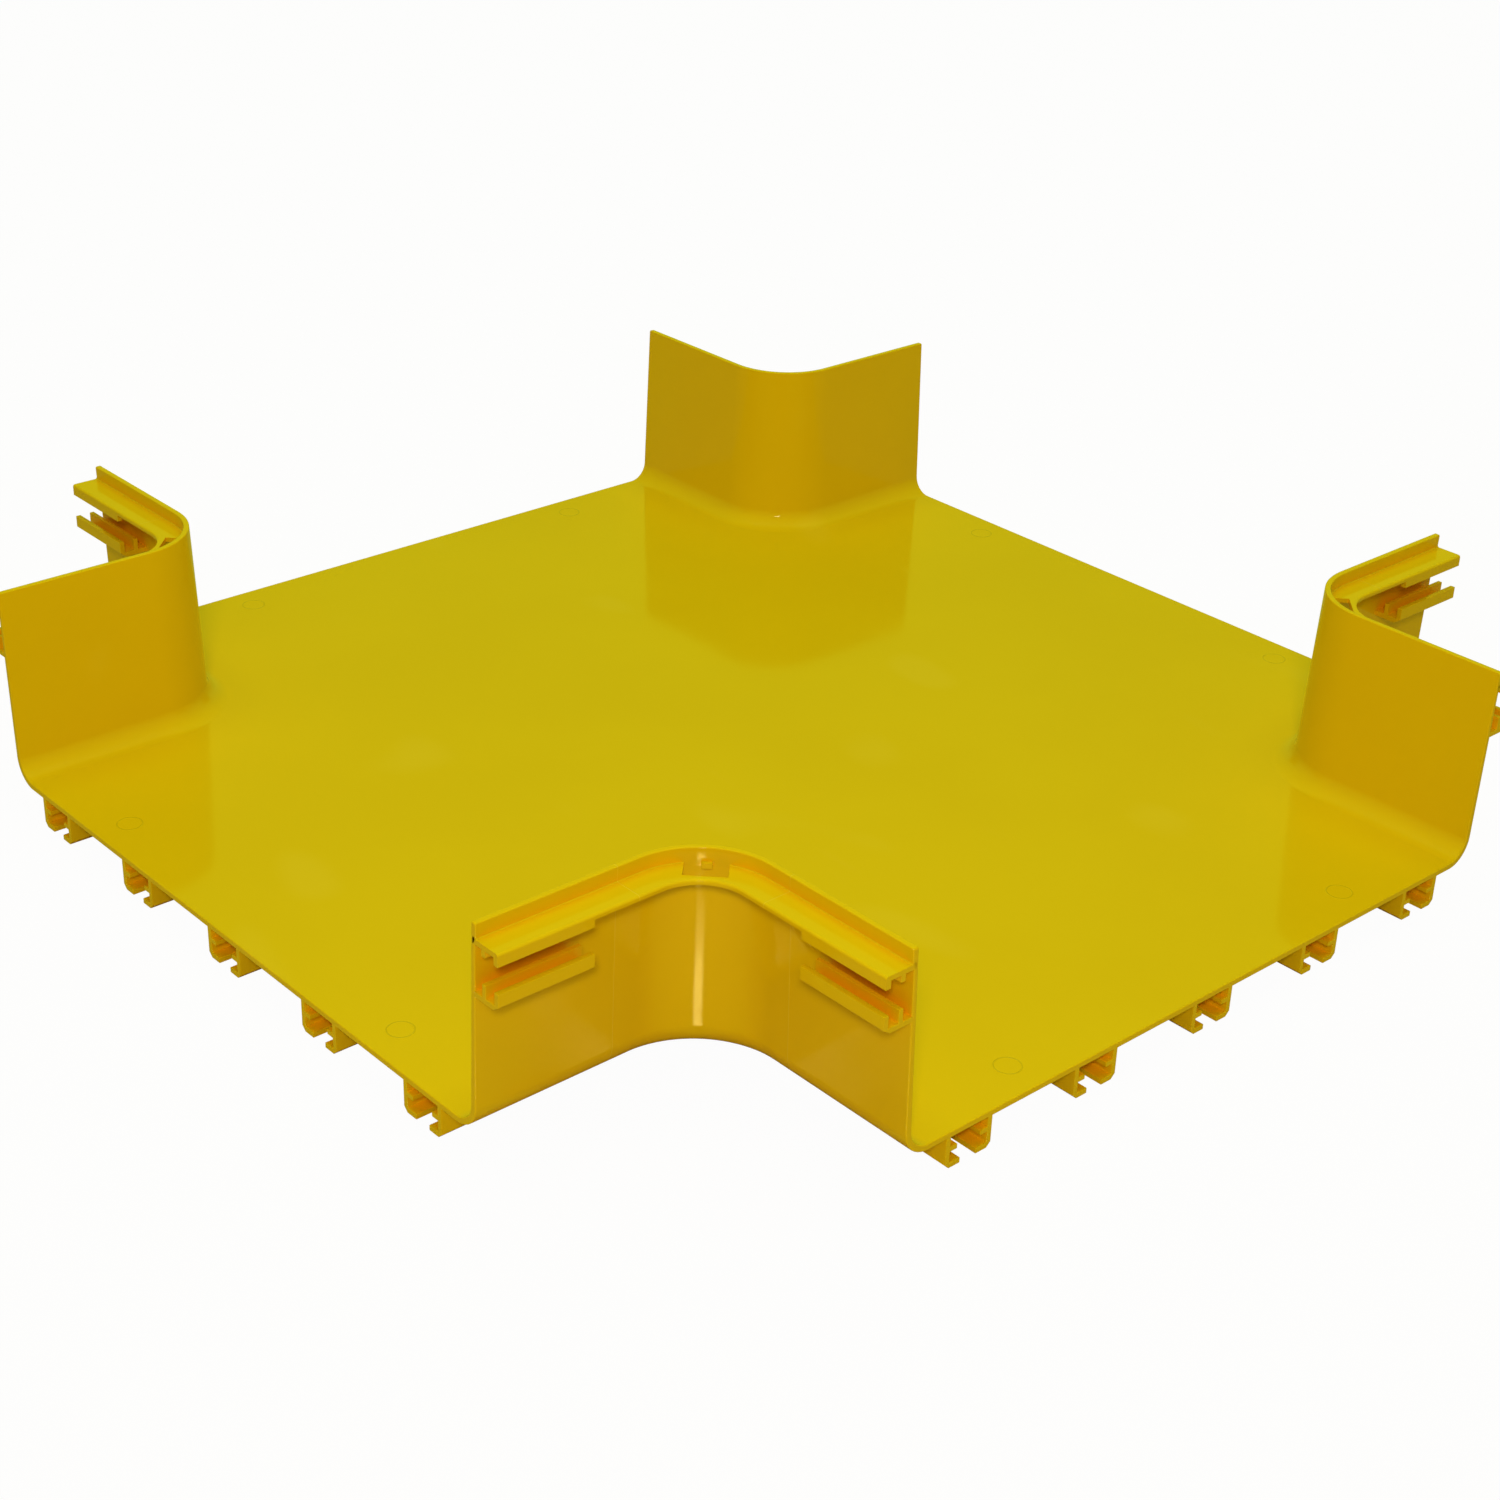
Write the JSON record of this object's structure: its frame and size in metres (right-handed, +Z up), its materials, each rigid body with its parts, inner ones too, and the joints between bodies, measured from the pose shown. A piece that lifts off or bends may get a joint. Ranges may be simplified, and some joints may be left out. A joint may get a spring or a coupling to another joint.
{
  "type": "fibre raceway cross fitting",
  "caption": "Four-way cross fitting for an open fibre raceway: a flat floor with high walls bent round at the corners and slots for joining brackets on walls and floor.",
  "frame": {"origin": "middle of the underside, in the plane of the slot lips that it rests on", "axes": "+Z up, +X and +Y along the two troughs that cross"},
  "size_m": [0.584, 0.584, 0.1087],
  "materials": {
    "yellow_plastic": "glossy yellow moulded ABS"
  },
  "bodies": {
    "root": {"cross_body": "yellow_plastic"}
  },
  "joints": []
}
